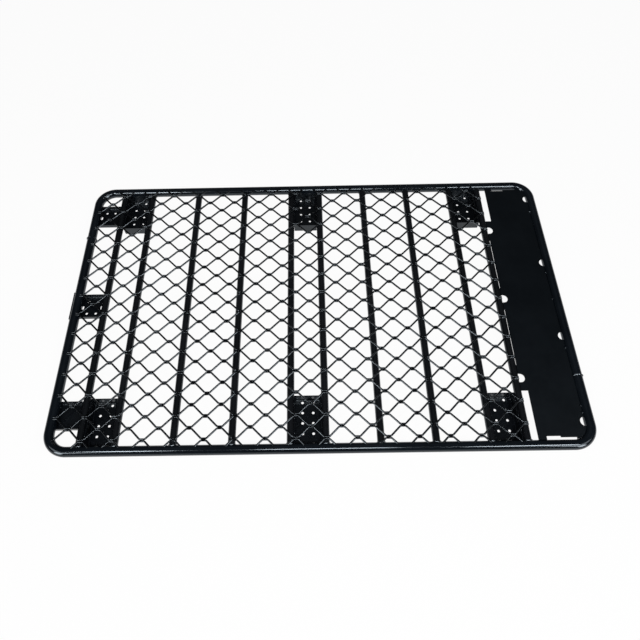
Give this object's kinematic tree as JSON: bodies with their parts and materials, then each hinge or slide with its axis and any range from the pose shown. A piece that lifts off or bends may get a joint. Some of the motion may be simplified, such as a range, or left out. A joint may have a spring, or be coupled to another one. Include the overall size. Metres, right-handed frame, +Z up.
{
  "type": "truck rack",
  "caption": "Flat steel roof rack with a bent tube perimeter, crossbars, a zig-zag wire mesh floor, a slotted front panel and folded trays for its feet.",
  "frame": {"origin": "middle of the rack in plan, on the plane of the foot trays' undersides", "axes": "+X to the front, where the sheet panel is, +Y to the left and +Z up"},
  "size_m": [1.798, 1.12, 0.0618],
  "materials": {
    "perimeter_coat": "satin black powder coat",
    "crossbar_coat": "satin black powder coat",
    "tray_coat": "satin black powder coat",
    "panel_coat": "satin black powder coat",
    "mesh_coat": "glossy black powder coat"
  },
  "bodies": {
    "root": {"left_rail": "perimeter_coat", "right_rail": "perimeter_coat", "rear_tube_left": "perimeter_coat", "rear_tube_right": "perimeter_coat", "front_tube_left": "perimeter_coat", "front_tube_right": "perimeter_coat", "rear_left_bend": "perimeter_coat", "rear_right_bend": "perimeter_coat", "front_left_bend": "perimeter_coat", "front_right_bend": "perimeter_coat", "rear_weld_bead": "perimeter_coat", "front_weld_bead": "perimeter_coat", "rear_tube_sleeve": "perimeter_coat", "crossbar_1": "crossbar_coat", "crossbar_2": "crossbar_coat", "crossbar_3": "crossbar_coat", "crossbar_4": "crossbar_coat", "crossbar_5": "crossbar_coat", "crossbar_6": "crossbar_coat", "crossbar_7": "crossbar_coat", "crossbar_8": "crossbar_coat", "crossbar_9": "crossbar_coat", "crossbar_10": "crossbar_coat", "rear_left_tray": "tray_coat", "rear_right_tray": "tray_coat", "mid_left_tray": "tray_coat", "mid_right_tray": "tray_coat", "front_left_tray": "tray_coat", "front_right_tray": "tray_coat", "left_accessory_plate": "tray_coat", "mid_accessory_plate": "tray_coat", "right_accessory_plate": "tray_coat", "front_panel": "panel_coat", "panel_rear_edge": "panel_coat", "floor_mesh_1": "mesh_coat", "floor_mesh_2": "mesh_coat", "floor_mesh_3": "mesh_coat", "floor_mesh_4": "mesh_coat"}
  },
  "joints": []
}
